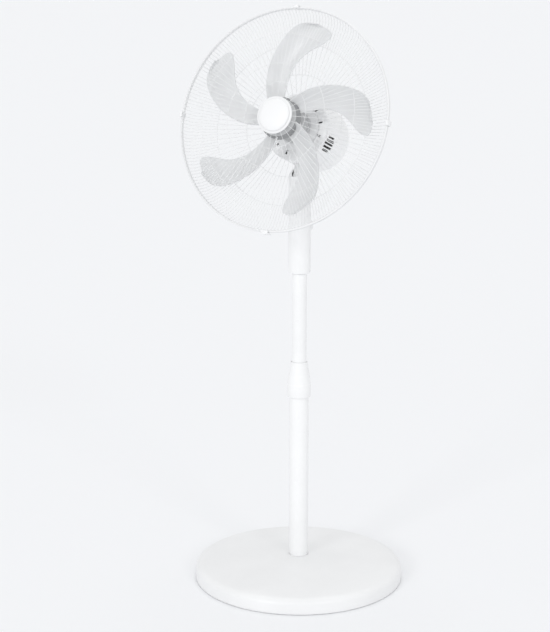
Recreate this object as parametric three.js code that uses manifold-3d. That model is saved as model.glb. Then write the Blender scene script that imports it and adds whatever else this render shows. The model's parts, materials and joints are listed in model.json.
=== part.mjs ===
// A pedestal fan: weighted round base, telescopic pole, slim neck, and a head that tilts and oscillates.
// Millimetres, +Z up, origin on the floor under the pole's axis. The fan blows towards -Y.
import * as THREE from "three";
import { mergeVertices } from "three/addons/utils/BufferGeometryUtils.js";
import Module from "manifold-3d";

const wasm = await Module();
wasm.setup();

// ---- driving dimensions ----
const GAP = 0.3; // between pieces that touch
const BASE = { r: 200, edge: 29, top: 43.5, wall: 2.6, footHeight: 0.8 };
const OUTER_TUBE = { r: 18.4, bore: 17, top: 395 };
const INNER_TUBE = { r: 14, bore: 12.8, bottom: 230, top: 657 };
const COLLAR = { r: 22.6, bottom: 360, shoulder: 388, top: 428 };
const NECK = { r: 21, wall: 2.4, bottom: 599 };
const DIAL = { z: 685, r: 14, depth: 10.5 };
const BUTTON = { z: 721, r: 4.5 };
const PIVOT_Z = 776; // tilt pivot, on the pole's axis
const TILT_UP = 18; // degrees the head is tipped back at rest
const TONGUE = 9.4; // half the width of the bracket's tongue
const MOTOR_RISE = 85.5; // motor axis above the tilt pivot
const MOTOR_FORWARD = 12; // origin of the motor frame in front of the tilt pivot
const RIM_Y = -93; // plane of the guard's rim, measured along the motor axis
const GUARD_R = 206.5;
const GUARD_WIRES = 20;
const WIRE = 2.4; // the guard's wires, square in section
const BLADE = {
  count: 5, hubR: 38, tipR: 178, thickness: 2.4, tipAngle: -11.2, front: -108.5, rear: -94.5, camber: 4,
};
const HOUSING = { r: 62, wall: 1.8, front: -30, shoulder: 58, rear: 100 };
const SHAFT_R = 4;
const GEAR = { module: 1, wheelTeeth: 36, pinionTeeth: 16, low: 31.3, high: 36.3 };
const SIDES = { large: 36, round: 20, small: 12 };

// ---- solids from three.js shapes ----
const rad = THREE.MathUtils.degToRad;

function manifold(position, corners) {
  const mesh = new wasm.Mesh({
    numProp: 3,
    vertProperties: new Float32Array(position),
    triVerts: new Uint32Array(corners),
  });
  return new wasm.Manifold(mesh);
}

// A closed geometry as a solid. A profile drawn the other way round is turned face out.
function solid(geometry) {
  const bare = new THREE.BufferGeometry();
  bare.setAttribute("position", geometry.getAttribute("position"));
  bare.setIndex(geometry.index);
  const merged = mergeVertices(bare, 1e-3);
  const index = merged.index.array;
  const corners = [];
  for (let i = 0; i < index.length; i += 3) {
    const [a, b, c] = index.slice(i, i + 3);
    if (a !== b && b !== c && a !== c) corners.push(a, b, c);
  }
  const position = merged.getAttribute("position").array;
  const made = manifold(position, corners);
  return made.volume() < 0 ? manifold(position, corners.reverse()) : made;
}

// A profile of [radius, along] pairs turned about the Z or Y axis. It ends on the axis or closes on itself.
function turned(axis, profile, sides = SIDES.round) {
  const points = profile.map(([r, along]) => new THREE.Vector2(r, along));
  if (profile[0][0] > 0) points.push(points[0].clone());
  const geometry = new THREE.LatheGeometry(points, sides);
  if (axis === "z") geometry.rotateX(Math.PI / 2);
  return solid(geometry);
}

function ring(axis, inner, outer, low, high, sides = SIDES.round) {
  const profile = [[inner, low], [outer, low], [outer, high], [inner, high]];
  return turned(axis, profile, sides);
}

// A round bar along an axis; at holds its place on the other two axes, in the order x, y, z.
function bar(axis, radius, low, high, at = [0, 0], sides = SIDES.small) {
  const geometry = new THREE.CylinderGeometry(radius, radius, high - low, sides);
  geometry.translate(0, (low + high) / 2, 0);
  if (axis === "x") geometry.rotateZ(-Math.PI / 2).translate(0, at[0], at[1]);
  if (axis === "y") geometry.translate(at[0], 0, at[1]);
  if (axis === "z") geometry.rotateX(Math.PI / 2).translate(at[0], at[1], 0);
  return solid(geometry);
}

// A box from its low to its high corner, then turned about the Y axis by turn degrees.
function block(low, high, turn = 0) {
  const size = high.map((v, i) => v - low[i]);
  const middle = high.map((v, i) => (v + low[i]) / 2);
  const geometry = new THREE.BoxGeometry(...size).translate(...middle);
  return solid(geometry.rotateY(rad(turn)));
}

function joined(solids) {
  return solids.reduce((sum, next) => sum.add(next));
}

function cut(body, tools) {
  return tools.reduce((left, tool) => left.subtract(tool), body);
}

// ---- materials ----
function finish(color, roughness, metalness = 0) {
  return new THREE.MeshStandardMaterial({ color, roughness, metalness });
}
const white = finish(0xf7f7f5, 0.4);
const powderCoat = finish(0xf8f8f8, 0.35);
const wireCoat = finish(0xf4f4f4, 0.4);
const clearGrey = finish(0xc9cacb, 0.3);
const hubGrey = finish(0x8e9092, 0.45);
const steel = finish(0xa9abae, 0.35, 1);
const darkSteel = finish(0x4a4c50, 0.5, 0.8);
const copper = finish(0xb06a38, 0.4, 0.9);
const rubber = finish(0x3c3c3e, 0.9);
const brass = finish(0xc0a050, 0.4, 0.9);
const nylon = finish(0xe8e6dd, 0.6);
const darkPlastic = finish(0x2c2d30, 0.6);

// ---- assembly ----
const fan = new THREE.Group();
const tiltFrame = new THREE.Group(); // origin at the tilt pivot, leaning back with the head
tiltFrame.position.z = PIVOT_Z;
tiltFrame.rotation.x = -rad(TILT_UP);
const motorFrame = new THREE.Group(); // its Y axis is the motor's, +Y to the rear
motorFrame.position.set(0, -MOTOR_FORWARD, MOTOR_RISE);
fan.add(tiltFrame);
tiltFrame.add(motorFrame);

function place(parent, name, body, material) {
  const { numProp, vertProperties, triVerts } = body.getMesh();
  const geometry = new THREE.BufferGeometry();
  const count = vertProperties.length / numProp;
  const position = new Float32Array(count * 3);
  for (let i = 0; i < count; i++) {
    position.set(vertProperties.subarray(i * numProp, i * numProp + 3), i * 3);
  }
  geometry.setAttribute("position", new THREE.BufferAttribute(position, 3));
  geometry.setIndex(new THREE.BufferAttribute(triVerts, 1));
  geometry.computeVertexNormals();
  const mesh = new THREE.Mesh(geometry, material);
  mesh.name = name;
  parent.add(mesh);
}

// ---- base ----
const PLATE = { low: 4, high: 7.5, r: 190, hole: 9 };
const FLANGE = { low: PLATE.high + GAP, high: 11, r: 45, spigotTop: 41 };
const FLANGE_SCREWS = { count: 3, pcr: 35, r: 3 };

function aroundZ(count, radius, startDegrees) {
  return Array.from({ length: count }, (_, i) => {
    const angle = rad(startDegrees + (360 * i) / count);
    return [radius * Math.cos(angle), radius * Math.sin(angle)];
  });
}

const socket = OUTER_TUBE.r + GAP;
const cover = turned("z", [
  [socket, BASE.top], [26, BASE.top - 1], [90, 37.5], [160, 32.5], [189, BASE.edge],
  [195, 27.5], [198.5, 24.5], [BASE.r, 20], [BASE.r, 8], [199, BASE.footHeight],
  [199 - BASE.wall, BASE.footHeight], [BASE.r - BASE.wall, 9], [BASE.r - BASE.wall, 19],
  [195, 23.5], [188, 26.2], [90, 34.8], [socket + BASE.wall, 40], [socket + BASE.wall, 14], [socket, 14],
], SIDES.large);
const GLAND = { z: 14, r: 5, collarR: 6.4 };
const glandAt = [0, GLAND.z];
place(fan, "base_cover", cut(cover, [bar("y", GLAND.r + GAP, 190, 210, glandAt)]), white);
const gland = bar("y", GLAND.r, 191, 199.4, glandAt).add(bar("y", GLAND.collarR, 191, 196, glandAt));
place(fan, "cord_gland", cut(gland, [bar("y", 3, 180, 210, glandAt)]), darkPlastic);

const screwSpots = aroundZ(FLANGE_SCREWS.count, FLANGE_SCREWS.pcr, 90);
const screwHoles = screwSpots.map((at) => bar("z", FLANGE_SCREWS.r + GAP, 0, 20, at));
const plate = ring("z", PLATE.hole, PLATE.r, PLATE.low, PLATE.high, SIDES.large);
place(fan, "base_weight_plate", cut(plate, screwHoles), steel);

const spigotR = OUTER_TUBE.bore - GAP;
const flange = turned("z", [
  [PLATE.hole, FLANGE.low], [FLANGE.r, FLANGE.low], [FLANGE.r, FLANGE.high],
  [spigotR, FLANGE.high], [spigotR, FLANGE.spigotTop], [spigotR - 3, FLANGE.spigotTop], [PLATE.hole, 16],
]);
place(fan, "pole_flange", cut(flange, screwHoles), steel);
screwSpots.forEach((at, i) => {
  const shank = bar("z", FLANGE_SCREWS.r, PLATE.low + 0.5, FLANGE.high + 1, at);
  const head = bar("z", 5.2, FLANGE.high + GAP, 14.3, at);
  place(fan, `flange_screw_${i + 1}`, shank.add(head), steel);
});
aroundZ(4, 168, 45).forEach(([x, y], i) => {
  const pad = bar("z", 12, 0, PLATE.low - GAP, [x, y], 16);
  place(fan, `base_foot_${i + 1}`, pad, rubber);
});

// ---- pole ----
const poleFoot = FLANGE.high + GAP;
place(fan, "outer_tube", ring("z", OUTER_TUBE.bore, OUTER_TUBE.r, poleFoot, OUTER_TUBE.top), powderCoat);
const bushBore = INNER_TUBE.r + GAP;
const tubeEnd = OUTER_TUBE.top;
place(fan, "tube_top_bush", ring("z", bushBore, OUTER_TUBE.bore - GAP, tubeEnd - 28, tubeEnd - 2), nylon);
const slit = block([0, -1, tubeEnd - 5], [30, 1, tubeEnd + 30]);
const collet = turned("z", [
  [bushBore, tubeEnd + GAP], [18.4, tubeEnd + GAP], [18.4, tubeEnd + 3], [16, tubeEnd + 24],
  [bushBore, tubeEnd + 24],
]);
place(fan, "clamp_collet", cut(collet, [slit]), nylon);
place(fan, "height_collar", turned("z", [
  [COLLAR.r - 0.8, COLLAR.bottom], [COLLAR.r, COLLAR.bottom + 1.5], [COLLAR.r, COLLAR.shoulder - 4],
  [COLLAR.r - 1.2, tubeEnd - 2], [19.2, tubeEnd + 14], [17, tubeEnd + 26], [15.8, COLLAR.top],
  [INNER_TUBE.r + 0.6, COLLAR.top], [INNER_TUBE.r + 0.6, tubeEnd + 26], [16.6, tubeEnd + 25],
  [19, tubeEnd + 3], [19, COLLAR.bottom],
]), white);
const upperTube = ring("z", INNER_TUBE.bore, INNER_TUBE.r, INNER_TUBE.bottom, INNER_TUBE.top);
place(fan, "inner_tube", upperTube, powderCoat);
place(fan, "tube_guide_bush", ring("z", bushBore, OUTER_TUBE.bore - GAP, 231, 250), nylon);

// ---- neck ----
const SLEEVE = { r: 18.3, low: 605, high: 656, screwZ: 632 };
const TONGUE_ROOM = 13.4; // radius kept clear round the tilt pivot
const neckBore = NECK.r - NECK.wall;
const dome = [20, 42, 66].map((a) => [NECK.r * Math.cos(rad(a)), PIVOT_Z + NECK.r * Math.sin(rad(a))]);
const neckBody = turned("z", [
  [bushBore, NECK.bottom], [NECK.r - 1.5, NECK.bottom], [NECK.r, NECK.bottom + 3], [NECK.r, PIVOT_Z],
  ...dome, [0, PIVOT_Z + NECK.r], [0, PIVOT_Z - 24], [neckBore, PIVOT_Z - 24],
  [neckBore, NECK.bottom + 4], [bushBore, NECK.bottom + 4],
]);
const slotHalf = TONGUE + 0.4;
const tongueRoom = block([-slotHalf, -17, PIVOT_Z - TONGUE_ROOM], [slotHalf, 17, PIVOT_Z + 15]);
const domeSlot = block([-slotHalf, -30, PIVOT_Z + 5], [slotHalf, 30, PIVOT_Z + 30]);
const boltHole = bar("x", 4.3, -30, 30, [0, PIVOT_Z]);
const boltRecess = bar("x", 7.6, -30, -17.5, [0, PIVOT_Z]);
const wireWay = bar("z", 4, PIVOT_Z - 30, PIVOT_Z - 10);
const slottedNeck = cut(neckBody, [tongueRoom, domeSlot, boltHole, boltRecess, wireWay]);
const splitGap = 0.15;
const frontHalf = block([-30, -30, NECK.bottom - 10], [30, -splitGap, PIVOT_Z + 30]);
const rearHalf = block([-30, splitGap, NECK.bottom - 10], [30, 30, PIVOT_Z + 30]);
place(fan, "neck_front_shell", slottedNeck.intersect(frontHalf), white);
const controls = [
  bar("y", 3.6, 10, 30, [0, DIAL.z]),
  bar("y", BUTTON.r + 0.4, 10, 30, [0, BUTTON.z]),
  bar("y", 2.3, 10, 30, [0, SLEEVE.screwZ]),
];
place(fan, "neck_rear_shell", cut(slottedNeck.intersect(rearHalf), controls), white);
const sleeve = ring("z", bushBore, SLEEVE.r, SLEEVE.low, SLEEVE.high);
place(fan, "neck_sleeve", cut(sleeve, [controls[2]]), nylon);
const neckScrew = bar("y", 2, 14.5, 22, [0, SLEEVE.screwZ]);
place(fan, "neck_screw", neckScrew.add(bar("y", 3.6, 21.3, 23.3, [0, SLEEVE.screwZ])), steel);

place(fan, "speed_switch", block([-11, 2, DIAL.z - 11], [11, 14, DIAL.z + 11]), darkPlastic);
const dialFront = NECK.r + 0.5;
const dialGrip = block([-2.2, dialFront + 2, DIAL.z - 12], [2.2, dialFront + DIAL.depth + 3, DIAL.z + 12]);
place(fan, "speed_dial", joined([
  bar("y", 3, 14.3, dialFront + 1, [0, DIAL.z]),
  bar("y", DIAL.r, dialFront, dialFront + DIAL.depth, [0, DIAL.z], SIDES.round),
  dialGrip,
]), white);
place(fan, "swing_switch", block([-8, -4, BUTTON.z - 8], [8, 9.5, BUTTON.z + 8]), darkPlastic);
const buttonStem = bar("y", BUTTON.r, 13, 25.5, [0, BUTTON.z]);
place(fan, "swing_button", buttonStem.add(bar("y", 6.2, 14.5, 16.5, [0, BUTTON.z])), white);

const boltHead = bar("x", 7.2, -20, -17.9, [0, PIVOT_Z], 6);
place(fan, "tilt_bolt", boltHead.add(bar("x", 4, -18, 27, [0, PIVOT_Z])), steel);
const knobBody = bar("x", 11, NECK.r + 0.4, 33, [0, PIVOT_Z], SIDES.round);
place(fan, "tilt_knob", cut(knobBody, [bar("x", 4.3, 20, 27.3, [0, PIVOT_Z])]), white);

// ---- tilting bracket and swing gear ----
function gear(teeth, firstTooth) {
  const pitch = (2 * Math.PI) / teeth;
  const pitchR = (GEAR.module * teeth) / 2;
  const rootR = pitchR - 1.2 * GEAR.module;
  const tipR = pitchR + 0.75 * GEAR.module;
  const outline = [];
  for (let i = 0; i < teeth; i++) {
    const middle = rad(firstTooth) + i * pitch;
    const corners = [[rootR, -0.27], [tipR, -0.11], [tipR, 0.11], [rootR, 0.27]];
    for (const [r, part] of corners) {
      const angle = middle + part * pitch;
      outline.push(new THREE.Vector2(r * Math.cos(angle), r * Math.sin(angle)));
    }
  }
  const options = { depth: GEAR.high - GEAR.low, bevelEnabled: false };
  return solid(new THREE.ExtrudeGeometry(new THREE.Shape(outline), options).translate(0, 0, GEAR.low));
}

const PIN_R = 5;
const bracket = joined([
  bar("x", 12, -TONGUE, TONGUE, [0, 0], SIDES.round),
  block([-TONGUE, -10, 0], [TONGUE, 10, 27]),
  bar("z", 16, 24.4, 31, [0, 0], SIDES.round),
]);
const bracketBores = [bar("x", 4.3, -20, 20, [0, 0]), bar("z", PIN_R + GAP, 15, 40)];
place(tiltFrame, "tilt_bracket", cut(bracket, bracketBores), powderCoat);
const wheel = gear(GEAR.wheelTeeth, 90);
place(tiltFrame, "swing_wheel", cut(wheel, [bar("z", PIN_R + GAP, 30, 40)]), nylon);
const swivelPin = bar("z", PIN_R, 15.5, 37.7).add(bar("z", 8, GEAR.high + GAP, 37.7));
place(tiltFrame, "swivel_pin", swivelPin, steel);

const pinionY = (GEAR.module * (GEAR.wheelTeeth + GEAR.pinionTeeth)) / 2;
const SWING_MOTOR = { y: 40, r: 21, low: 41.3, high: 53 };
const pinion = gear(GEAR.pinionTeeth, -90 + 180 / GEAR.pinionTeeth);
const pinionSpot = [0, pinionY];
const pinionShank = bar("z", 2.5, 36, 40.9, pinionSpot);
place(tiltFrame, "swing_pinion", pinion.translate([0, pinionY, 0]).add(pinionShank), nylon);
const mount = block([-26, -36, 38], [26, 48, 41]);
place(tiltFrame, "motor_mount", cut(mount, [bar("z", 3, 30, 45, pinionSpot)]), darkSteel);
const swingMotorAt = [0, SWING_MOTOR.y];
const swingMotor = bar("z", SWING_MOTOR.r, SWING_MOTOR.low, SWING_MOTOR.high, swingMotorAt, SIDES.round);
place(tiltFrame, "swing_motor", swingMotor, steel);

// ---- motor ----
const STATOR = { r: 38, bore: 20, front: -14, rear: 10 };
const COIL = { inner: 22, outer: 36, depth: 6 };
const BOSS = { r: 14, front: -44 };
const BUSH_R = 7.5;
const shaftBore = SHAFT_R + GAP;
const coverRear = HOUSING.front + 3;
function ventSlots(radius, count, startDegrees, stepDegrees, low, high, length) {
  return Array.from({ length: count }, (_, i) => {
    const turn = startDegrees + i * stepDegrees;
    return block([radius - length / 2, low, -1.6], [radius + length / 2, high, 1.6], turn);
  });
}
const frontCover = turned("y", [
  [BUSH_R + GAP, BOSS.front], [BOSS.r, BOSS.front], [BOSS.r, HOUSING.front], [HOUSING.r - 3, HOUSING.front],
  [HOUSING.r, HOUSING.front + 2], [HOUSING.r, coverRear], [BUSH_R + GAP, coverRear],
]);
const frontSlots = ventSlots(48, 12, 15, 30, -35, -20, 8);
place(motorFrame, "motor_front_cover", cut(frontCover, frontSlots), white);
place(motorFrame, "front_bush", ring("y", shaftBore, BUSH_R, -40, coverRear), brass);

const cowlFront = coverRear + GAP;
const innerR = HOUSING.r - HOUSING.wall;
const cowl = turned("y", [
  [HOUSING.r, cowlFront], [HOUSING.r, HOUSING.shoulder], [60.5, 72], [55, 84], [45, 92.5], [28, 98.3],
  [0, HOUSING.rear], [0, HOUSING.rear - HOUSING.wall], [27.5, 96.4], [44, 90.8], [53.5, 82.8],
  [58.7, 71.4], [innerR, HOUSING.shoulder], [innerR, cowlFront],
], SIDES.round);
const bracketOpening = bar("z", 17.5, -70, -50, [0, MOTOR_FORWARD], SIDES.round);
// A round vent patch low on each side: slots side by side, shorter towards the patch's edge.
const VENT = { r: 17.5, middle: -6, slotHalf: 2.1, pitch: 6.5, stepDegrees: 6 };
const sideSlots = [22, 158].flatMap((middle) => [-2, -1, 0, 1, 2].map((step) => {
  const half = Math.sqrt(VENT.r ** 2 - (step * VENT.pitch) ** 2);
  const low = [HOUSING.r - 5, VENT.middle - half, -VENT.slotHalf];
  const high = [HOUSING.r + 3, VENT.middle + half, VENT.slotHalf];
  return block(low, high, middle + step * VENT.stepDegrees);
}));
const rearSlots = ventSlots(30, 12, 15, 30, 90, 105, 16);
place(motorFrame, "motor_cowl", cut(cowl, [bracketOpening, ...sideSlots, ...rearSlots]), white);

place(motorFrame, "stator_core", ring("y", STATOR.bore, STATOR.r, STATOR.front, STATOR.rear), darkSteel);
const frontCoil = [STATOR.front - GAP - COIL.depth, STATOR.front - GAP];
const rearCoil = [STATOR.rear + GAP, STATOR.rear + GAP + COIL.depth];
place(motorFrame, "winding_front", ring("y", COIL.inner, COIL.outer, ...frontCoil), copper);
place(motorFrame, "winding_rear", ring("y", COIL.inner, COIL.outer, ...rearCoil), copper);
place(motorFrame, "rotor", ring("y", shaftBore, STATOR.bore - 0.6, STATOR.front, STATOR.rear), steel);
place(motorFrame, "motor_shaft", bar("y", SHAFT_R, -114, 25), steel);
place(motorFrame, "rear_bush", ring("y", shaftBore, BUSH_R, 17, 24), brass);
place(motorFrame, "motor_rear_bracket", ring("y", BUSH_R + GAP, 30, 17.5, 20.5), darkSteel);

// ---- blades ----
const hubProfile = [
  [shaftBore, -109], [20, -108.6], [33, -107], [BLADE.hubR, -102], [BLADE.hubR, -94],
  [BLADE.hubR - 2.2, -94], [BLADE.hubR - 2.2, -101], [32, -104.6], [10, -106], [10, -80], [shaftBore, -80],
];
// Edge angles of one blade from its leading tip, at each radius.
const BLADE_EDGES = [
  { r: 36.5, lead: 30, trail: 72 }, { r: 58, lead: 28, trail: 62 }, { r: 88, lead: 24.5, trail: 52 },
  { r: 120, lead: 16, trail: 42 }, { r: 148, lead: 6, trail: 33.5 }, { r: 167, lead: 3, trail: 25 },
  { r: BLADE.tipR, lead: 7.5, trail: 15 },
];

function blade(number) {
  const across = 4;
  const stations = BLADE_EDGES.length - 1;
  const geometry = new THREE.BoxGeometry(1, 1, 1, stations, 1, across);
  const position = geometry.getAttribute("position");
  for (let i = 0; i < position.count; i++) {
    const edge = BLADE_EDGES[Math.round((position.getX(i) + 0.5) * stations)];
    const chord = position.getZ(i) + 0.5;
    const start = BLADE.tipAngle + (360 * number) / BLADE.count;
    const angle = rad(start + edge.lead + chord * (edge.trail - edge.lead));
    const outward = (edge.r - BLADE.hubR) / (BLADE.tipR - BLADE.hubR);
    const span = (BLADE.rear - BLADE.front) * (1 - 0.2 * outward * outward);
    const camber = BLADE.camber * Math.sin(Math.PI * chord);
    const middle = (BLADE.rear + BLADE.front) / 2;
    const along = middle + span * (0.5 - chord) + camber + position.getY(i) * BLADE.thickness;
    position.setXYZ(i, edge.r * Math.cos(angle), along, edge.r * Math.sin(angle));
  }
  return solid(geometry);
}
const blades = Array.from({ length: BLADE.count }, (_, i) => blade(i));
place(motorFrame, "fan_blades", joined([turned("y", hubProfile), ...blades]), clearGrey);
place(motorFrame, "blade_nut", turned("y", [
  [0, -118.5], [9, -118], [13, -115], [14, -109.3], [shaftBore, -109.3], [shaftBore, -114.3], [0, -114.3],
]), hubGrey);

// ---- guard ----
const RIM_BAR = 4.5; // radial width of the rim rings
// One wire's run as [radius, along] pairs from the rim to the middle.
const FRONT_RUN = [[204, -96], [199, -106], [186, -112.5], [150, -118.5], [95, -123], [30, -125.5]];
const REAR_RUN = [[204, -90], [199, -77], [186, -67], [150, -55], [95, -43.5], [38, -33.4]];

function wire(run, degrees) {
  const inner = run.map(([r, along], i) => {
    const before = run[Math.max(i - 1, 0)];
    const after = run[Math.min(i + 1, run.length - 1)];
    const dr = after[0] - before[0];
    const da = after[1] - before[1];
    const length = Math.hypot(dr, da);
    return [r + (WIRE * da) / length, along - (WIRE * dr) / length];
  });
  const outline = [...run, ...inner.reverse()].map(([r, along]) => new THREE.Vector2(r, along));
  const options = { depth: WIRE, bevelEnabled: false };
  const geometry = new THREE.ExtrudeGeometry(new THREE.Shape(outline), options);
  return solid(geometry.translate(0, 0, -WIRE / 2).rotateY(rad(degrees)));
}

function wires(run) {
  const pitch = 360 / GUARD_WIRES;
  return Array.from({ length: GUARD_WIRES }, (_, i) => wire(run, pitch * (i + 0.5)));
}

function guardRing(radius, along, width = WIRE, depth = WIRE, sides = SIDES.large) {
  return ring("y", radius - width, radius, along, along + depth, sides);
}
const frontRim = RIM_Y - GAP - 4;
place(motorFrame, "front_guard", joined([
  guardRing(GUARD_R, frontRim, RIM_BAR, 4),
  guardRing(34, -125.5, 10, WIRE),
  guardRing(126, -121, WIRE, WIRE, GUARD_WIRES),
  ...wires(FRONT_RUN),
]), wireCoat);
place(motorFrame, "rear_guard", joined([
  guardRing(GUARD_R, RIM_Y + GAP, RIM_BAR, 4),
  guardRing(44, -33.2, 29.5, 2.6),
  guardRing(126, -51.2, WIRE, WIRE, GUARD_WIRES),
  ...wires(REAR_RUN),
]), wireCoat);
place(motorFrame, "rear_guard_nut", ring("y", BOSS.r + GAP, 30, -41, -33.6), hubGrey);
place(motorFrame, "guard_badge", turned("y", [
  [0, -131.5], [15, -131.1], [25, -129.7], [29.5, -127.3], [29.5, -125.8], [0, -125.8],
]), white);

const CLIP = { r: GUARD_R + GAP, thick: 1.4, width: 9 };
function rimClip(turn) {
  const face = [-101, -99.2];
  return joined([
    block([CLIP.r, face[0], -CLIP.width / 2], [CLIP.r + CLIP.thick, -85.2, CLIP.width / 2], turn),
    block([203, face[0], -CLIP.width / 2], [CLIP.r + 1, face[1], CLIP.width / 2], turn),
    block([203, -87, -CLIP.width / 2], [CLIP.r + 1, -85.2, CLIP.width / 2], turn),
  ]);
}
[["left", 0], ["top", -90], ["right", 180]].forEach(([side, turn]) => {
  place(motorFrame, `rim_clip_${side}`, rimClip(turn), white);
});
place(motorFrame, "guard_latch", joined([
  block([-7, -101, -CLIP.r - 3], [7, -86, -CLIP.r]),
  block([-7, -101, -CLIP.r - 1], [7, -99.2, -203]),
]), white);

export default fan;
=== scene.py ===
import json
from math import atan2, cos, pi, radians, sin
import bmesh
import bpy
from mathutils import Matrix, Vector


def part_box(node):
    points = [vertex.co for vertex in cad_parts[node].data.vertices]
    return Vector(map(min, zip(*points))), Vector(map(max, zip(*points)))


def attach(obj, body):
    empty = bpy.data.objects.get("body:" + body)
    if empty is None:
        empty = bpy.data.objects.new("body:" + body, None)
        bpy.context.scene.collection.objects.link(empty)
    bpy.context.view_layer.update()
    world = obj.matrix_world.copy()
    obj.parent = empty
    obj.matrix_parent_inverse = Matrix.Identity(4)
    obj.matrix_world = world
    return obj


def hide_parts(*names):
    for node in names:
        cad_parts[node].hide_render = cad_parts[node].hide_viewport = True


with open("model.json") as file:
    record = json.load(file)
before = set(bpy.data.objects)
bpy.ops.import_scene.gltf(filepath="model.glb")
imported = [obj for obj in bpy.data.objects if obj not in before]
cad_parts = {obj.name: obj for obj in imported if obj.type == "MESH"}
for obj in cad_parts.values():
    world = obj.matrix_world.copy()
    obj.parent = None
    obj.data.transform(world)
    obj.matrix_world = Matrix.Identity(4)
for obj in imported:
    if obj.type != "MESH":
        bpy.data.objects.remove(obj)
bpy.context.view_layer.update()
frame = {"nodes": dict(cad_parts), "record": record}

MM = 0.001
joints = {joint["name"]: joint for joint in frame["record"]["behaviour"]["joints"]}


# ---- camera, floor and light ----
CAMERA_AZIMUTH = 26.0  # degrees round from the fan's front
CAMERA_ASIDE = 0.955  # degrees that the view turns off the pole
CAMERA_PITCH = 12.03  # degrees that the view looks down
CAMERA_AWAY = 2.75  # metres from the pole
CAMERA_HEIGHT = 1.1018
CAMERA_LENS = 85
VIEW_END = 6000
FLOOR_RADIUS = 2500
FLOOR_GAP = 0.0005
SUNS = [  # name, azimuth, elevation, strength, spread
    ("left key", -6, 20, 0.5, 14),
    ("right key", 54, 24, 0.27, 14),
    ("soft front", 20, 14, 0.22, 50),
    ("top", 200, 74, 0.42, 40),
]
STUDIO_COLOUR = (0.985, 0.992, 1, 1)
STUDIO_STRENGTH = 0.78
PAPER_COLOUR = (0.9, 0.906, 0.92, 1)


def set_camera():
    camera = bpy.data.objects.new("camera", bpy.data.cameras.new("camera"))
    camera.data.lens = CAMERA_LENS
    azimuth = radians(CAMERA_AZIMUTH)
    camera.location = (CAMERA_AWAY * sin(azimuth), -CAMERA_AWAY * cos(azimuth), CAMERA_HEIGHT)
    camera.rotation_euler = (radians(90 - CAMERA_PITCH), 0, radians(CAMERA_AZIMUTH + CAMERA_ASIDE))
    camera.data.clip_end = VIEW_END
    bpy.context.scene.collection.objects.link(camera)
    bpy.context.scene.camera = camera


def set_light():
    scene = bpy.context.scene
    scene.view_settings.view_transform = "Standard"
    world = bpy.data.worlds.new("studio")
    world.use_nodes = True
    background = world.node_tree.nodes["Background"]
    background.inputs["Color"].default_value = STUDIO_COLOUR
    background.inputs["Strength"].default_value = STUDIO_STRENGTH
    scene.world = world
    for name, azimuth, elevation, strength, spread in SUNS:
        lamp = bpy.data.lights.new(name, "SUN")
        lamp.energy = strength
        lamp.angle = radians(spread)
        lamp_object = bpy.data.objects.new(name, lamp)
        lamp_object.rotation_euler = (radians(90 - elevation), 0, radians(azimuth))
        scene.collection.objects.link(lamp_object)


def set_floor():
    bm = bmesh.new()
    bmesh.ops.create_circle(bm, cap_ends=True, radius=FLOOR_RADIUS, segments=64)
    mesh = bpy.data.meshes.new("floor")
    bm.to_mesh(mesh)
    bm.free()
    floor = bpy.data.objects.new("floor", mesh)
    floor.location.z = -FLOOR_GAP
    bpy.context.scene.collection.objects.link(floor)
    paper = bpy.data.materials.new("backdrop paper")
    paper.use_nodes = True
    shader = paper.node_tree.nodes["Principled BSDF"]
    shader.inputs["Base Color"].default_value = PAPER_COLOUR
    shader.inputs["Roughness"].default_value = 0.95
    shader.inputs["Specular IOR Level"].default_value = 0.1
    mesh.materials.append(paper)


set_camera()
set_light()
set_floor()


# ---- finishes ----
NOISE_LOW, NOISE_HIGH = 0.3, 0.7  # the part of a noise's range that is spread over a roughness
RAMP_STOPS = (0.35, 0.65)
CORNER_FROM, CORNER_TO = 0.52, 0.62  # pointiness at which an edge starts and ends to be rubbed


class Finish:
    """A material of nodes, on the piece's own Object coordinates."""

    def __init__(self, name):
        self.material = bpy.data.materials.new(name)
        self.material.use_nodes = True
        self.tree = self.material.node_tree
        self.shader = self.tree.nodes["Principled BSDF"]
        self.place = self.add("ShaderNodeTexCoord").outputs["Object"]

    def add(self, kind, **values):
        node = self.tree.nodes.new(kind)
        for key, value in values.items():
            setattr(node, key, value)
        return node

    def link(self, start, end):
        self.tree.links.new(start, end)

    def stretched(self, scale):
        mapping = self.add("ShaderNodeMapping")
        mapping.inputs["Scale"].default_value = scale
        self.link(self.place, mapping.inputs["Vector"])
        return mapping.outputs["Vector"]

    def noise(self, scale, detail=3, rough=0.55, place=None):
        node = self.add("ShaderNodeTexNoise")
        node.inputs["Scale"].default_value = scale
        node.inputs["Detail"].default_value = detail
        node.inputs["Roughness"].default_value = rough
        self.link(place or self.place, node.inputs["Vector"])
        return node.outputs["Fac"]

    def ramp(self, value, low, high):
        node = self.add("ShaderNodeValToRGB")
        for element, position, colour in zip(node.color_ramp.elements, RAMP_STOPS, (low, high)):
            element.position = position
            element.color = (*colour, 1)
        self.link(value, node.inputs["Fac"])
        return node.outputs["Color"]

    def spread(self, value, low, high):
        node = self.add("ShaderNodeMapRange")
        node.inputs["From Min"].default_value = NOISE_LOW
        node.inputs["From Max"].default_value = NOISE_HIGH
        node.inputs["To Min"].default_value = low
        node.inputs["To Max"].default_value = high
        self.link(value, node.inputs["Value"])
        return node.outputs["Result"]

    def bump(self, value, strength, depth):
        node = self.add("ShaderNodeBump")
        node.inputs["Strength"].default_value = strength
        node.inputs["Distance"].default_value = depth
        self.link(value, node.inputs["Height"])
        self.link(node.outputs["Normal"], self.shader.inputs["Normal"])

    def set(self, **values):
        for key, value in values.items():
            self.shader.inputs[key.replace("_", " ")].default_value = value
        return self


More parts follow.
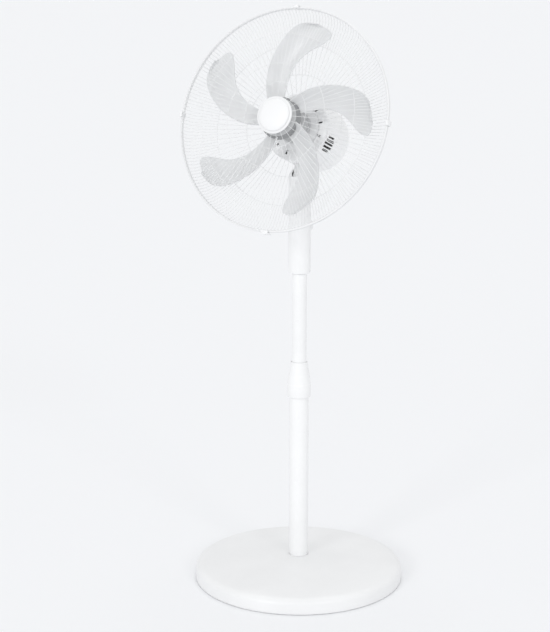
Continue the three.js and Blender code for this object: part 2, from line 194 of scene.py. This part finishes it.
def edge_wear(finish, colour, rubbed, amount):
    """Mixes the rubbed colour into the corners."""
    geometry = finish.add("ShaderNodeNewGeometry")
    corner = finish.add("ShaderNodeMapRange")
    corner.inputs["From Min"].default_value = CORNER_FROM
    corner.inputs["From Max"].default_value = CORNER_TO
    corner.inputs["To Max"].default_value = amount
    finish.link(geometry.outputs["Pointiness"], corner.inputs["Value"])
    mix = finish.add("ShaderNodeMix", data_type="RGBA")
    finish.link(corner.outputs["Result"], mix.inputs["Factor"])
    finish.link(colour, mix.inputs[6])
    mix.inputs[7].default_value = (*rubbed, 1)
    finish.link(mix.outputs[2], finish.shader.inputs["Base Color"])


def moulded_plastic(name, low, high, roughness, grain, sheen=0.0):
    finish = Finish(name)
    cloud = finish.noise(9, detail=4)
    rubbed = tuple(min(1, part * 1.05) for part in high)
    edge_wear(finish, finish.ramp(cloud, low, high), rubbed, amount=0.6)
    handled = finish.noise(38, detail=5, rough=0.6)
    handled_roughness = finish.spread(handled, roughness - 0.06, roughness + 0.07)
    finish.link(handled_roughness, finish.shader.inputs["Roughness"])
    finish.bump(finish.noise(grain, detail=2, rough=0.5), strength=0.12, depth=0.0002)
    return finish.set(Specular_IOR_Level=0.45, Coat_Weight=sheen, Coat_Roughness=0.18)


def powder_coat(name, low, high, roughness):
    finish = Finish(name)
    cloud = finish.noise(14, detail=3)
    edge_wear(finish, finish.ramp(cloud, low, high), low, amount=0.4)
    uneven = finish.spread(finish.noise(60, detail=4), roughness - 0.05, roughness + 0.08)
    finish.link(uneven, finish.shader.inputs["Roughness"])
    finish.bump(finish.noise(900, detail=2, rough=0.4), strength=0.1, depth=0.00015)
    return finish.set(Specular_IOR_Level=0.5)


def plain_metal(name, low, high, roughness, lines=(1, 1, 12)):
    finish = Finish(name)
    streaks = finish.noise(120, detail=4, rough=0.6, place=finish.stretched(lines))
    finish.link(finish.ramp(streaks, low, high), finish.shader.inputs["Base Color"])
    uneven = finish.spread(streaks, roughness - 0.08, roughness + 0.1)
    finish.link(uneven, finish.shader.inputs["Roughness"])
    finish.bump(streaks, strength=0.15, depth=0.0002)
    return finish.set(Metallic=1.0)


white_shell = moulded_plastic(
    "white moulded shell", (0.875, 0.878, 0.882), (0.905, 0.908, 0.912),
    roughness=0.36, grain=1400, sheen=0.2)
# The base's white is a darker copy of the shell's white: painted shade for the base's greyer top.
base_white_and_painted_shade = moulded_plastic(
    "white moulded base with painted shade", (0.84, 0.843, 0.847), (0.87, 0.873, 0.877),
    roughness=0.4, grain=1400, sheen=0.1)
pole_paint = powder_coat("white pole paint", (0.88, 0.883, 0.887), (0.91, 0.913, 0.917), roughness=0.32)
wire_paint = powder_coat("white wire coating", (0.83, 0.835, 0.84), (0.86, 0.863, 0.867), roughness=0.4)
blade_plastic = moulded_plastic(
    "pale grey blade plastic", (0.82, 0.828, 0.835), (0.86, 0.868, 0.875), roughness=0.34, grain=700)
blade_plastic.set(Transmission_Weight=0.25, IOR=1.55, Specular_IOR_Level=0.8)
# Pale grey: on the blade hub it is darker than the blade plastic as painted shade; the rear guard nut has it
# as its own colour.
pale_grey_and_hub_shade = moulded_plastic(
    "pale grey plastic and painted hub shade", (0.6, 0.606, 0.612), (0.66, 0.666, 0.672), roughness=0.4, grain=900)
# Dark grey: the dial's pointer and the blade nut have it as their own colour; on the hub's rim band it is
# painted shade.
dark_grey_and_hub_rim_shade = moulded_plastic(
    "dark grey plastic and painted hub rim shade", (0.27, 0.275, 0.28), (0.32, 0.325, 0.33), roughness=0.42, grain=900)
dark_plastic = moulded_plastic(
    "black switch plastic", (0.02, 0.02, 0.022), (0.035, 0.035, 0.037), roughness=0.5, grain=1200)
bearing_nylon = moulded_plastic(
    "natural nylon", (0.7, 0.69, 0.64), (0.78, 0.77, 0.72), roughness=0.5, grain=800)
foot_rubber = moulded_plastic(
    "foot rubber", (0.03, 0.03, 0.031), (0.05, 0.05, 0.052), roughness=0.8, grain=1500)
rolled_steel = plain_metal("rolled steel", (0.42, 0.43, 0.44), (0.58, 0.59, 0.6), roughness=0.36)
dark_steel = plain_metal("lacquered steel", (0.08, 0.085, 0.09), (0.13, 0.135, 0.14), roughness=0.45)
bush_brass = plain_metal("sintered brass", (0.45, 0.33, 0.13), (0.58, 0.44, 0.2), roughness=0.42)
coil_copper = plain_metal(
    "lacquered copper wire", (0.42, 0.17, 0.07), (0.58, 0.26, 0.12), roughness=0.38, lines=(1, 30, 1))


# ---- frames: millimetres in, metres out ----
def axes_at(origin, y_axis, z_axis):
    x_axis = Vector(y_axis).cross(Vector(z_axis))
    turn = Matrix((x_axis, y_axis, z_axis)).transposed().to_4x4()
    return Matrix.Translation(origin) @ turn @ Matrix.Scale(MM, 4)


STAND = Matrix.Scale(MM, 4)
pivot = Vector(joints["head_tilt"]["pos_m"])
swing_axis = Vector(joints["head_swing"]["axis"])
spin_axis = Vector(joints["blade_spin"]["axis"])
from_pivot = Vector(joints["blade_spin"]["pos_m"]) - pivot
TILT = axes_at(pivot, spin_axis, swing_axis)
BLADES_AHEAD = 90  # the blades' joint sits this far in front of the motor's origin
rise = from_pivot.dot(swing_axis) / MM
forward = from_pivot.dot(spin_axis) / MM + BLADES_AHEAD
MOTOR = TILT @ Matrix.Translation((0, forward, rise))  # +Y runs to the rear along the shaft
LENGTHWISE = Matrix.Rotation(radians(-90), 4, "X")  # a lathe's own Z laid along Y
SIDEWAYS = Matrix.Rotation(radians(90), 4, "Y")  # a lathe's own Z laid along X
SHAFT = MOTOR @ LENGTHWISE


# ---- shaping ----
WELD = 0.002  # millimetres
HARD_EDGE = radians(28)  # a sharper fold is rounded
CREASE = radians(34)  # a sharper fold shades as a crease


def everything(bm):
    return list(bm.verts) + list(bm.edges) + list(bm.faces)


def lathe(profile, steps=112, soft=0.0, closed=False):
    """Spins [radius, height] points about Z, then rounds the hard rings."""
    bm = bmesh.new()
    points = [bm.verts.new((r, 0, z)) for r, z in profile]
    pairs = list(zip(points, points[1:]))
    if closed:
        pairs.append((points[-1], points[0]))
    edges = [bm.edges.new(pair) for pair in pairs]
    bmesh.ops.spin(
        bm, geom=points + edges, cent=(0, 0, 0), axis=(0, 0, 1), angle=2 * pi, steps=steps, use_merge=True)
    bmesh.ops.remove_doubles(bm, verts=bm.verts, dist=WELD)
    bmesh.ops.recalc_face_normals(bm, faces=bm.faces)
    if soft:
        soften(bm, soft)
    return bm


def soften(bm, width):
    """Rounds the hard edges."""
    bm.normal_update()
    hard = [e for e in bm.edges if e.is_manifold and e.calc_face_angle() > HARD_EDGE]
    bmesh.ops.bevel(
        bm, geom=hard, offset=width, segments=3, profile=0.5, affect="EDGES", material=-1, clamp_overlap=True)


def block(low, high, soft):
    bm = bmesh.new()
    size = [b - a for a, b in zip(low, high)]
    middle = [(a + b) / 2 for a, b in zip(low, high)]
    bmesh.ops.create_cube(bm, size=1, matrix=Matrix.Translation(middle) @ Matrix.Diagonal((*size, 1)))
    soften(bm, soft)
    return bm


def tube(path, radius):
    """A bar along (r, z) points in the XZ plane, capped at both ends."""
    bm = bmesh.new()
    for i, here in enumerate(path):
        before = path[max(i - 1, 0)]
        after = path[min(i + 1, len(path) - 1)]
        lean = atan2(after[0] - before[0], after[1] - before[1])
        place = Matrix.Translation((here[0], 0, here[1])) @ Matrix.Rotation(lean, 4, "Y")
        if i == 0:
            bmesh.ops.create_circle(bm, cap_ends=True, radius=radius, segments=SIDES_OF_WIRE, matrix=place)
            edges = list(bm.edges)
        else:
            grown = bmesh.ops.extrude_edge_only(bm, edges=edges)["geom"]
            ring = [v for v in grown if isinstance(v, bmesh.types.BMVert)]
            edges = [e for e in grown if isinstance(e, bmesh.types.BMEdge)]
            edges = [e for e in edges if all(v in ring for v in e.verts)]
            bmesh.ops.transform(bm, matrix=place @ last.inverted(), verts=ring)
        last = place
    bmesh.ops.contextual_create(bm, geom=edges)
    bmesh.ops.recalc_face_normals(bm, faces=bm.faces)
    return bm


def repeat(bm, count, start=0.0):
    """Makes count copies about Z, the first turned by start degrees."""
    if start:
        bmesh.ops.rotate(bm, verts=bm.verts, matrix=Matrix.Rotation(radians(start), 3, "Z"))
    first = everything(bm)
    for i in range(1, count):
        turn = Matrix.Rotation(2 * pi * i / count, 3, "Z")
        copy = bmesh.ops.duplicate(bm, geom=first)["geom"]
        bmesh.ops.rotate(bm, verts=[v for v in copy if isinstance(v, bmesh.types.BMVert)], matrix=turn)
    return bm


def together(*parts):
    """Puts the parts in one mesh."""
    bm = bmesh.new()
    for part in parts:
        mesh = bpy.data.meshes.new("part")
        part.to_mesh(mesh)
        part.free()
        bm.from_mesh(mesh)
        bpy.data.meshes.remove(mesh)
    return bm


def moved(bm, matrix):
    bmesh.ops.transform(bm, matrix=matrix, verts=bm.verts)
    return bm


def piece(name, bm, place, body, finish, replaces=(), wall=0.0, rounding=0.0):
    """Makes the mesh a piece of the fan. Its wall grows inwards."""
    moved(bm, place)
    bm.normal_update()
    for face in bm.faces:
        face.smooth = True
    for edge in bm.edges:
        edge.smooth = not (edge.is_manifold and edge.calc_face_angle() > CREASE)
    mesh = bpy.data.meshes.new(name)
    bm.to_mesh(mesh)
    bm.free()
    mesh.materials.append(finish.material)
    made = bpy.data.objects.new(name, mesh)
    bpy.context.scene.collection.objects.link(made)
    if wall:
        solidify = made.modifiers.new("wall", "SOLIDIFY")
        solidify.thickness = wall * MM
        solidify.offset = -1
        solidify.use_even_offset = True
    if rounding:
        bevel = made.modifiers.new("rounding", "BEVEL")
        bevel.width = rounding * MM
        bevel.segments = 2
        bevel.limit_method = "ANGLE"
        bevel.angle_limit = radians(40)
    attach(made, body)
    if replaces:
        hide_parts(*replaces)
    return made


def between(a, b, c, d, t):
    square = (2 * a - 5 * b + 4 * c - d) * t * t
    cube = (3 * b - a - 3 * c + d) * t ** 3
    return 0.5 * (2 * b + (c - a) * t + square + cube)


def smooth_run(points, steps):
    """A smooth curve through the points (Catmull-Rom)."""
    ends = [points[0]] + list(points) + [points[-1]]
    run = []
    for four in zip(ends, ends[1:], ends[2:], ends[3:]):
        for i in range(steps):
            run.append(tuple(between(*values, i / steps) for values in zip(*four)))
    run.append(tuple(points[-1]))
    return run


# ---- base ----
BASE_WALL = 2.4
base_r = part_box("base_cover")[1][0] / MM - 0.1  # just inside the CAD cover
tube_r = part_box("outer_tube")[1][0] / MM
base_run = smooth_run([
    (tube_r + 0.4, 43.4), (24, 43.2), (40, 41.6), (90, 37.4), (160, 32.4), (182, 30.2), (191, 28.4),
    (196.5, 25.2), (199.3, 20.5), (base_r, 14), (base_r, 5), (base_r - 0.2, 0.5),
], 5)
piece("base_cover_skin", lathe(base_run, 160), STAND, "stand", base_white_and_painted_shade, ["base_cover"],
      wall=BASE_WALL)

# ---- pole ----
tube_low, tube_high = (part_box("outer_tube")[i][2] / MM for i in (0, 1))
OUTER_BORE = 17
INNER_R, INNER_BORE = 14, 12.8
lower_pole = lathe([
    (OUTER_BORE, tube_low), (tube_r, tube_low), (tube_r, tube_high), (OUTER_BORE, tube_high),
], 96, 0.4, closed=True)
piece("lower_pole", lower_pole, STAND, "stand", pole_paint, ["outer_tube"])
inner_low, inner_high = (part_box("inner_tube")[i][2] / MM for i in (0, 1))
upper_pole = lathe([
    (INNER_BORE, inner_low), (INNER_R, inner_low), (INNER_R, inner_high), (INNER_BORE, inner_high),
], 96, 0.3, closed=True)
piece("upper_pole", upper_pole, STAND, "column", pole_paint, ["inner_tube"])
collar_low, collar_high = (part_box("height_collar")[i][2] / MM for i in (0, 1))
collar_outside = [
    (19.1, 0), (21.8, 0), (22.5, 2), (22.5, 25), (22, 25.8), (21.7, 31), (20.7, 39), (19, 48), (17.4, 58),
]
collar_mouth = [(16.2, -3), (15.9, 0), (14.6, 0), (14.6, -7), (16.7, -9)]
collar = lathe([
    *((r, collar_low + up) for r, up in collar_outside),
    *((r, collar_high + up) for r, up in collar_mouth),
    (19.1, collar_low + 38),
], 120, 0.6, closed=True)
piece("height_collar_body", collar, STAND, "collar", white_shell, ["height_collar"])

# ---- neck ----
NECK_WALL = 2.3
NECK_SEAM = 0.12  # half the joint line between the front and rear shells
SLOT_HALF = 10.9  # wide enough for the wall's inner edge to clear the bracket's tongue
SLOT_LIFT = 5  # the slot's bottom above the tilt pivot
neck_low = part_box("neck_front_shell")[0][2] / MM
neck_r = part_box("neck_front_shell")[1][0] / MM
pivot_z = pivot.z / MM


def neck_skin(side):
    dome = [(neck_r * cos(radians(a)), pivot_z + neck_r * sin(radians(a))) for a in range(6, 91, 6)]
    outline = [
        (14.4, neck_low), (neck_r - 2.2, neck_low), (neck_r - 0.6, neck_low + 0.7),
        (neck_r, neck_low + 2.4), (neck_r, neck_low + 6), (neck_r, pivot_z),
    ]
    bm = lathe(outline + [(max(r, 0), z) for r, z in dome], 96)
    seam = (0, NECK_SEAM * side, 0)
    bmesh.ops.bisect_plane(bm, geom=everything(bm), plane_co=seam, plane_no=(0, side, 0), clear_inner=True)
    for x in (-SLOT_HALF, SLOT_HALF):
        bmesh.ops.bisect_plane(bm, geom=everything(bm), plane_co=(x, 0, 0), plane_no=(1, 0, 0))
    slot_low = pivot_z + SLOT_LIFT
    bmesh.ops.bisect_plane(bm, geom=everything(bm), plane_co=(0, 0, slot_low), plane_no=(0, 0, 1))
    slot = []
    for face in bm.faces:
        middle = face.calc_center_median()
        if abs(middle.x) < SLOT_HALF and middle.z > slot_low:
            slot.append(face)
    bmesh.ops.delete(bm, geom=slot, context="FACES")
    return bm


for side, half in ((-1, "front"), (1, "rear")):
    piece(f"neck_{half}_skin", neck_skin(side), STAND, "column", white_shell,
          [f"neck_{half}_shell"], wall=NECK_WALL)

dial_z = joints["dial_turn"]["pos_m"][2] / MM
DIAL = Matrix.Translation((0, 0, dial_z * MM)) @ Matrix.Scale(MM, 4) @ LENGTHWISE
dial = together(
    lathe([(0, 21.6), (13.8, 21.6), (13.8, 30), (12.6, 31.7), (0, 31.9)], 96, 0.5),
    repeat(block((13.3, -0.45, 22.4), (14, 0.45, 30), 0.15), 36),
    block((-2, -11.8, 31), (2, 11.8, 34.8), 0.9),
)
piece("speed_dial_body", dial, DIAL, "dial", white_shell, ["speed_dial"])
pointer = block((-0.5, 6, 34.5), (0.5, 11.2, 35.1), 0.12)
piece("speed_dial_pointer", pointer, DIAL, "dial", dark_grey_and_hub_rim_shade)
button_z = sum(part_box("swing_button")[i][2] for i in (0, 1)) / 2
BUTTON = Matrix.Translation((0, 0, button_z)) @ Matrix.Scale(MM, 4) @ LENGTHWISE
button = together(
    lathe([(0, 13.2), (4.5, 13.2), (4.5, 24.4), (3.4, 25.3), (0, 25.4)], 48, 0.3),
    lathe([(0, 14.6), (6, 14.6), (6, 16.4), (0, 16.4)], 48, 0.3),
)
piece("swing_button_cap", button, BUTTON, "button", white_shell, ["swing_button"])
LOCK = Matrix.Translation(pivot) @ Matrix.Scale(MM, 4) @ SIDEWAYS
lock_body = lathe([
    (0, 27.8), (4.4, 27.8), (4.4, 21.6), (10, 21.6), (10.6, 23), (10.6, 31), (9.6, 32.6), (0, 33),
], 80, 0.4)
lock_ribs = repeat(block((10, -0.8, 23), (11, 0.8, 31.4), 0.3), 16)
tilt_lock = together(lock_body, lock_ribs)
piece("tilt_lock_knob", tilt_lock, LOCK, "tilt_lock", white_shell, ["tilt_knob"])

# ---- motor housing ----
HOUSING_R = 62.0
HOUSING_WALL = 1.7
COVER_WALL = 1.6
COLUMNS = 180  # faces round the housing, 2 degrees each
SIDE_VENTS = {"r": 17.5, "middle": -6, "pitch": 6.5, "columns": (11, 79), "columns_a_step": 3}
OPENING_R = 17.5  # the bracket's way in at the bottom
OPENING_EDGE_R = 17.4
UNDERSIDE = 50  # below this depth a face belongs to the bottom


def column_of(face):
    middle = face.calc_center_median()
    return int((atan2(middle.y, middle.x) % (2 * pi)) / (2 * pi) * COLUMNS)


def faces_between(bm, inner, outer, low, high, columns):
    """The faces between two radii and two heights whose column passes the test."""
    found = []
    for face in bm.faces:
        middle = face.calc_center_median()
        radius = (middle.x ** 2 + middle.y ** 2) ** 0.5
        if inner < radius < outer and low < middle.z < high and columns(column_of(face)):
            found.append(face)
    return found


def side_vents(bm):
    """A round patch of five slots on each side."""
    vents = []
    for step in (-2, -1, 0, 1, 2):
        half = (SIDE_VENTS["r"] ** 2 - (step * SIDE_VENTS["pitch"]) ** 2) ** 0.5
        low, high = SIDE_VENTS["middle"] - half, SIDE_VENTS["middle"] + half
        for first in SIDE_VENTS["columns"]:
            column = first + SIDE_VENTS["columns_a_step"] * step
            vents += faces_between(bm, 50, 63, low, high, lambda c: c in (column - 1, column))
    return vents


def from_opening(point):
    return Vector((point.x, point.z + forward))


def motor_cowl():
    shoulder = smooth_run([
        (HOUSING_R, 58), (60.6, 71), (55.4, 83.4), (45.6, 92), (40, 94.5), (24, 98.4), (0, 99.8),
    ], 4)
    barrel = [(HOUSING_R, -24 + 2.2 * i) for i in range(20)]
    bm = lathe([(HOUSING_R - 0.8, -26.6), (HOUSING_R, -25.6)] + barrel + shoulder, COLUMNS)
    # Local X is the fan's X and local Y points down once the lathe lies along the shaft.
    rear_vents = faces_between(bm, 24, 44, 90, 101, lambda c: c % 9 in (0, 1, 2, 3))
    holes = rear_vents + side_vents(bm)
    for face in bm.faces:
        middle = face.calc_center_median()
        if middle.y > UNDERSIDE and from_opening(middle).length < OPENING_R:
            holes.append(face)
    bmesh.ops.delete(bm, geom=holes, context="FACES")
    for vert in bm.verts:
        offset = from_opening(vert.co)
        if vert.is_boundary and vert.co.y > UNDERSIDE and offset.length < 20:
            offset = offset.normalized() * OPENING_EDGE_R
            vert.co = (offset.x, (HOUSING_R ** 2 - offset.x ** 2) ** 0.5, offset.y - forward)
    return bm


piece("motor_cowl_skin", motor_cowl(), SHAFT, "head", white_shell, ["motor_cowl"],
      wall=HOUSING_WALL, rounding=0.35)


def motor_front():
    bm = lathe([
        (8, -44), (13.4, -44), (14, -43.4), (14, -31), (15, -30), (30, -30), (44, -30), (52, -30),
        (60, -29.8), (61.4, -29), (62, -27.6), (62, -27),
    ], COLUMNS)
    holes = faces_between(bm, 44, 52, -31, -29, lambda c: c % 15 in (7, 8))
    bmesh.ops.delete(bm, geom=holes, context="FACES")
    return bm


piece("motor_front_skin", motor_front(), SHAFT, "head", white_shell,
      ["motor_front_cover"], wall=COVER_WALL, rounding=0.3)

# ---- blades ----
BLADES = 5
# [radius, degrees round the hub] of the leading and trailing edges
LEAD = [
    (36, 30), (58, 28), (88, 24.5), (120, 16), (148, 6), (164, 3), (172, 3.2), (176, 5), (178, 8),
]
TRAIL = [(36, 72), (58, 62), (88, 52), (120, 42), (148, 33.5), (165, 27.5), (174, 21.5), (178, 13)]
ROOT_R = 36
VANE_LONG = 142
HUB_R = 38
FREE_LONG = 140  # the vane outside the hub
VANE_TURN = -11.2  # degrees
VANE_SPAN = 14  # depth from the leading to the trailing edge
VANE_MIDDLE = -101.5
VANE_CAMBER = 4
TIP_FLATTER = 0.2


def along_table(table, r):
    run = smooth_run(table, 6)
    for (r0, a0), (r1, a1) in zip(run, run[1:]):
        if r <= r1:
            return a0 + (a1 - a0) * max(0, r - r0) / (r1 - r0)
    return run[-1][1]


def vane():
    bm = bmesh.new()
    bmesh.ops.create_grid(bm, x_segments=40, y_segments=16, size=0.5)
    for vert in bm.verts:
        out = vert.co.x + 0.5
        chord = vert.co.y + 0.5
        r = ROOT_R + VANE_LONG * (1 - (1 - out) ** 1.35)  # closer rows towards the tip
        lead, trail = along_table(LEAD, r), along_table(TRAIL, r)
        angle = radians(VANE_TURN + lead + chord * (trail - lead))
        outward = (r - HUB_R) / FREE_LONG
        span = VANE_SPAN * (1 - TIP_FLATTER * outward * outward)
        height = VANE_MIDDLE + span * (0.5 - chord) + VANE_CAMBER * sin(pi * chord)
        vert.co = Vector((r * cos(angle), -r * sin(angle), height))
    bmesh.ops.recalc_face_normals(bm, faces=bm.faces)
    return repeat(bm, BLADES)


vanes = piece("blade_vanes", vane(), SHAFT, "impeller", blade_plastic, ["fan_blades"],
              wall=2.0, rounding=0.5)
vanes.modifiers["wall"].offset = 0  # half the wall to each side
# The hub's face is a darker grey than the blades: painted shade.
hub = lathe([
    (4.4, -109), (20, -108.7), (30, -108), (35, -106.4), (37.4, -103.6), (38, -100.5), (38, -94),
    (36, -94), (36, -101), (32, -104.6), (10, -106), (10, -80), (4.4, -80),
], 112, 0.6, closed=True)
piece("blade_hub", hub, SHAFT, "impeller", pale_grey_and_hub_shade)
# A dark band over the hub's side: painted shade for the shadowed rim of the hub.
hub_shade_band = lathe([
    (34.2, -106.6), (35.2, -106.7), (37.7, -103.8), (38.2, -100.6), (38.2, -94.2), (37.6, -94.2),
    (37.6, -100.4), (36.6, -103.4),
], 112, 0.2, closed=True)
piece("blade_hub_shade_band", hub_shade_band, SHAFT, "impeller", dark_grey_and_hub_rim_shade)
nut = lathe([
    (0, -118.4), (8, -117.8), (12.2, -115), (13, -109.4), (4.4, -109.4), (4.4, -114.2), (0, -114.2),
], 72, 0.4)
nut_ribs = repeat(block((12, -0.9, -114.6), (13.9, 0.9, -109.6), 0.3), 12)
piece("blade_nut_body", together(nut, nut_ribs), SHAFT, "impeller", dark_grey_and_hub_rim_shade, ["blade_nut"])

# ---- guard ----
# [radius, height] from the rim inwards
FRONT_RUN = [
    (204.2, -95.8), (202.8, -100), (198.6, -105.6), (186, -112), (150, -118), (95, -122.4), (33, -125),
]
REAR_RUN = [
    (204.2, -90.4), (202.5, -85), (198.5, -77.5), (188, -68.5), (150, -55.5), (95, -43), (38, -33),
]
RIM_R = 204.2
HOOPS = (60, 95, 150)
SET_STOPS = (150, 95, 150, 60, 150, 95, 150)  # where the wires of every set but the first end
WIRES_A_SET = 24
GUARD_TURN = 1.5  # degrees
SIDES_OF_WIRE = 6


def height_on(run, radius):
    smooth = smooth_run(run, 6)
    for (r0, h0), (r1, h1) in zip(smooth, smooth[1:]):
        if r1 <= radius <= r0:
            return h0 + (h1 - h0) * (radius - r0) / (r1 - r0)
    return run[-1][1]


def hoop(radius, height, thick, sides=12):
    """A round wire bent to a circle about Z; thick is half its width."""
    bm = bmesh.new()
    place = Matrix.Translation((radius, 0, height)) @ Matrix.Rotation(pi / 2, 4, "X")
    circle = bmesh.ops.create_circle(bm, radius=thick, segments=sides, matrix=place)
    bmesh.ops.spin(
        bm, geom=circle["verts"] + list(bm.edges), cent=(0, 0, 0), axis=(0, 0, 1), angle=2 * pi, steps=180,
        use_merge=True)
    bmesh.ops.remove_doubles(bm, verts=bm.verts, dist=WELD)
    bmesh.ops.recalc_face_normals(bm, faces=bm.faces)
    return bm


def guard_wires(run, stops, radius, lift):
    """Sets of wires from the rim inwards, each to its own stop and spread between the earlier sets."""
    smooth = smooth_run(run, 2)
    sets = []
    for i, stop in enumerate(stops):
        path = [(r, z + lift) for r, z in smooth if r > stop - 1]
        turn = GUARD_TURN + i * 360 / WIRES_A_SET / len(stops)
        sets.append(repeat(tube(path, radius), WIRES_A_SET, turn))
    return sets


def hoops(run, thick, lift):
    return [hoop(radius, height_on(run, radius) + lift, thick, 8) for radius in HOOPS]


front_wires = together(
    *guard_wires(FRONT_RUN, (30, *SET_STOPS), 0.36, lift=0.36),
    *hoops(FRONT_RUN, 0.38, lift=0.76),
    hoop(RIM_R, -95.4, 1.9),
)
piece("front_guard_wires", front_wires, SHAFT, "head", wire_paint, ["front_guard"])
front_plate = lathe([
    (24, -125.4), (33.6, -125.4), (34, -124.8), (34, -123.2), (24, -123.2),
], 96, 0.3, closed=True)
piece("front_guard_plate", front_plate, SHAFT, "head", wire_paint)
rear_wires = together(
    *guard_wires(REAR_RUN, (38, *SET_STOPS), 0.42, lift=-0.42),
    *hoops(REAR_RUN, 0.42, lift=-0.84),
    hoop(RIM_R, -90.8, 1.8),
)
piece("rear_guard_wires", rear_wires, SHAFT, "head", wire_paint, ["rear_guard"])
rear_plate = lathe([
    (14.6, -33), (42.4, -33), (44, -32.4), (44, -31), (14.6, -31),
], 112, 0.4, closed=True)
piece("rear_guard_plate", rear_plate, SHAFT, "head", wire_paint)
ring_nut = lathe([
    (14.4, -41), (24, -41), (25, -40), (25, -36), (30, -35.6), (30, -33.8), (14.4, -33.8),
], 96, 0.5, closed=True)
nut_grips = repeat(block((24, -1.4, -40.4), (27.5, 1.4, -35.8), 0.5), 10)
guard_nut = together(ring_nut, nut_grips)
piece("rear_guard_nut_body", guard_nut, SHAFT, "head", pale_grey_and_hub_shade, ["rear_guard_nut"])
badge = lathe([
    (0, -131.4), (10, -131.2), (19, -130.5), (25, -129.4), (28.4, -128), (29.4, -126.8),
    (29.4, -125.9), (0, -125.9),
], 112, 0.3)
piece("guard_badge_cap", badge, SHAFT, "head", white_shell, ["guard_badge"])


def rim_clip(turn):
    clip = together(
        block((206.9, -4.4, -100.8), (208.1, 4.4, -85.3), 0.4),
        block((203, -4.4, -100.8), (207.9, 4.4, -99.4), 0.4),
        block((203, -4.4, -86.8), (207.9, 4.4, -85.3), 0.4),
    )
    return moved(clip, Matrix.Rotation(radians(turn), 4, "Z"))


for side, turn in (("left", 0), ("top", -90), ("right", 180)):
    piece(f"rim_clip_{side}_skin", rim_clip(turn), SHAFT, "head", white_shell,
          [f"rim_clip_{side}"])
latch = together(
    block((-7, -101, -209.7), (7, -86.1, -206.9), 0.6),
    block((-7, -101, -208.4), (7, -99.3, -203.1), 0.5),
    block((-5, -102, -210), (5, -100.4, -207), 0.5),
)
piece("guard_latch_body", latch, MOTOR, "latch", white_shell, ["guard_latch"])

# ---- CAD pieces that stay, with their finishes ----
for finish, nodes in [
    (rolled_steel, ["base_weight_plate", "pole_flange", "flange_screw_1", "flange_screw_2", "flange_screw_3",
                    "neck_screw", "tilt_bolt", "swivel_pin", "swing_motor", "rotor", "motor_shaft"]),
    (pole_paint, ["tilt_bracket"]),
    (dark_steel, ["motor_mount", "stator_core", "motor_rear_bracket"]),
    (coil_copper, ["winding_front", "winding_rear"]),
    (foot_rubber, [f"base_foot_{i}" for i in range(1, 5)]),
    (bush_brass, ["front_bush", "rear_bush"]),
    (bearing_nylon, ["tube_top_bush", "clamp_collet", "tube_guide_bush", "neck_sleeve", "swing_wheel",
                     "swing_pinion"]),
    (dark_plastic, ["cord_gland", "speed_switch", "swing_switch"]),
]:
    for node in nodes:
        for material_slot in frame["nodes"][node].material_slots:
            material_slot.material = finish.material
